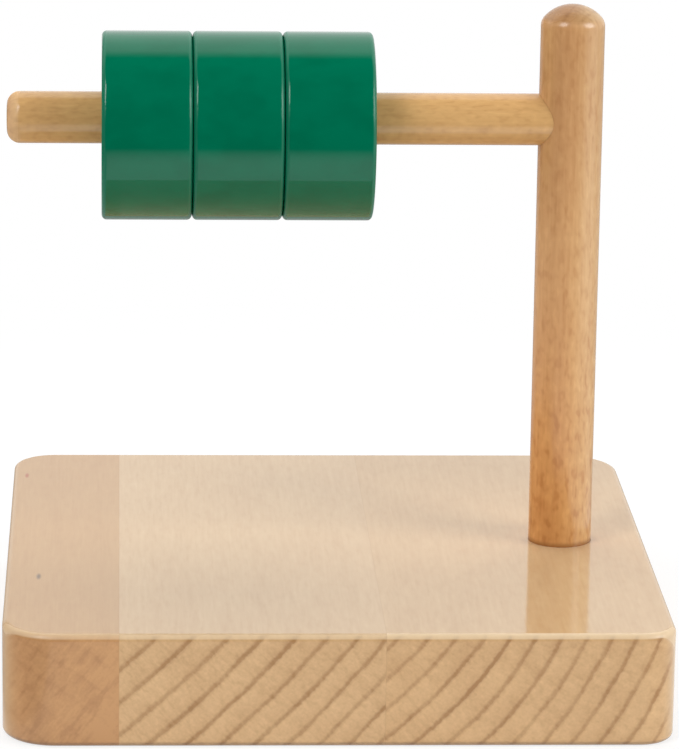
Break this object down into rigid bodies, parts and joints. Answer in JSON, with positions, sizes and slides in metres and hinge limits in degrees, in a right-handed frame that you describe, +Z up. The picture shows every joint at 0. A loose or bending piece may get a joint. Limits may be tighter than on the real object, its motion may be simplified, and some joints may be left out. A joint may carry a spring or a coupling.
{
  "type": "disc stacking toy",
  "caption": "Wooden stacking toy: a square board carries an upright post, whose level dowel holds thick painted discs that slide off its free end.",
  "frame": {"origin": "middle of the board's underside", "axes": "+X along the dowel from its free tip to the post, +Y to the back, +Z up along the post"},
  "size_m": [0.15, 0.15, 0.154],
  "materials": {
    "board_wood": "pale wood under clear gloss lacquer",
    "rod_wood": "warm brown wood under clear gloss lacquer",
    "green_paint": "green gloss paint on wood"
  },
  "bodies": {
    "stand": {"board_stave_left": "board_wood", "board_stave_middle": "board_wood", "board_stave_right": "board_wood", "post": "rod_wood", "dowel": "rod_wood"},
    "inner_disc": {"disc_inner": "green_paint"},
    "middle_disc": {"disc_middle": "green_paint"},
    "outer_disc": {"disc_outer": "green_paint"}
  },
  "joints": [
    {"name": "inner_disc_slide", "type": "slide", "parent": "stand", "child": "inner_disc", "axis": [-1, 0, 0], "range_m": [-0.0382, 0.089]},
    {"name": "middle_disc_slide", "type": "slide", "parent": "inner_disc", "child": "middle_disc", "axis": [-1, 0, 0], "range_m": [0, 0.1065]},
    {"name": "outer_disc_slide", "type": "slide", "parent": "middle_disc", "child": "outer_disc", "axis": [-1, 0, 0], "range_m": [0, 0.0858]}
  ]
}
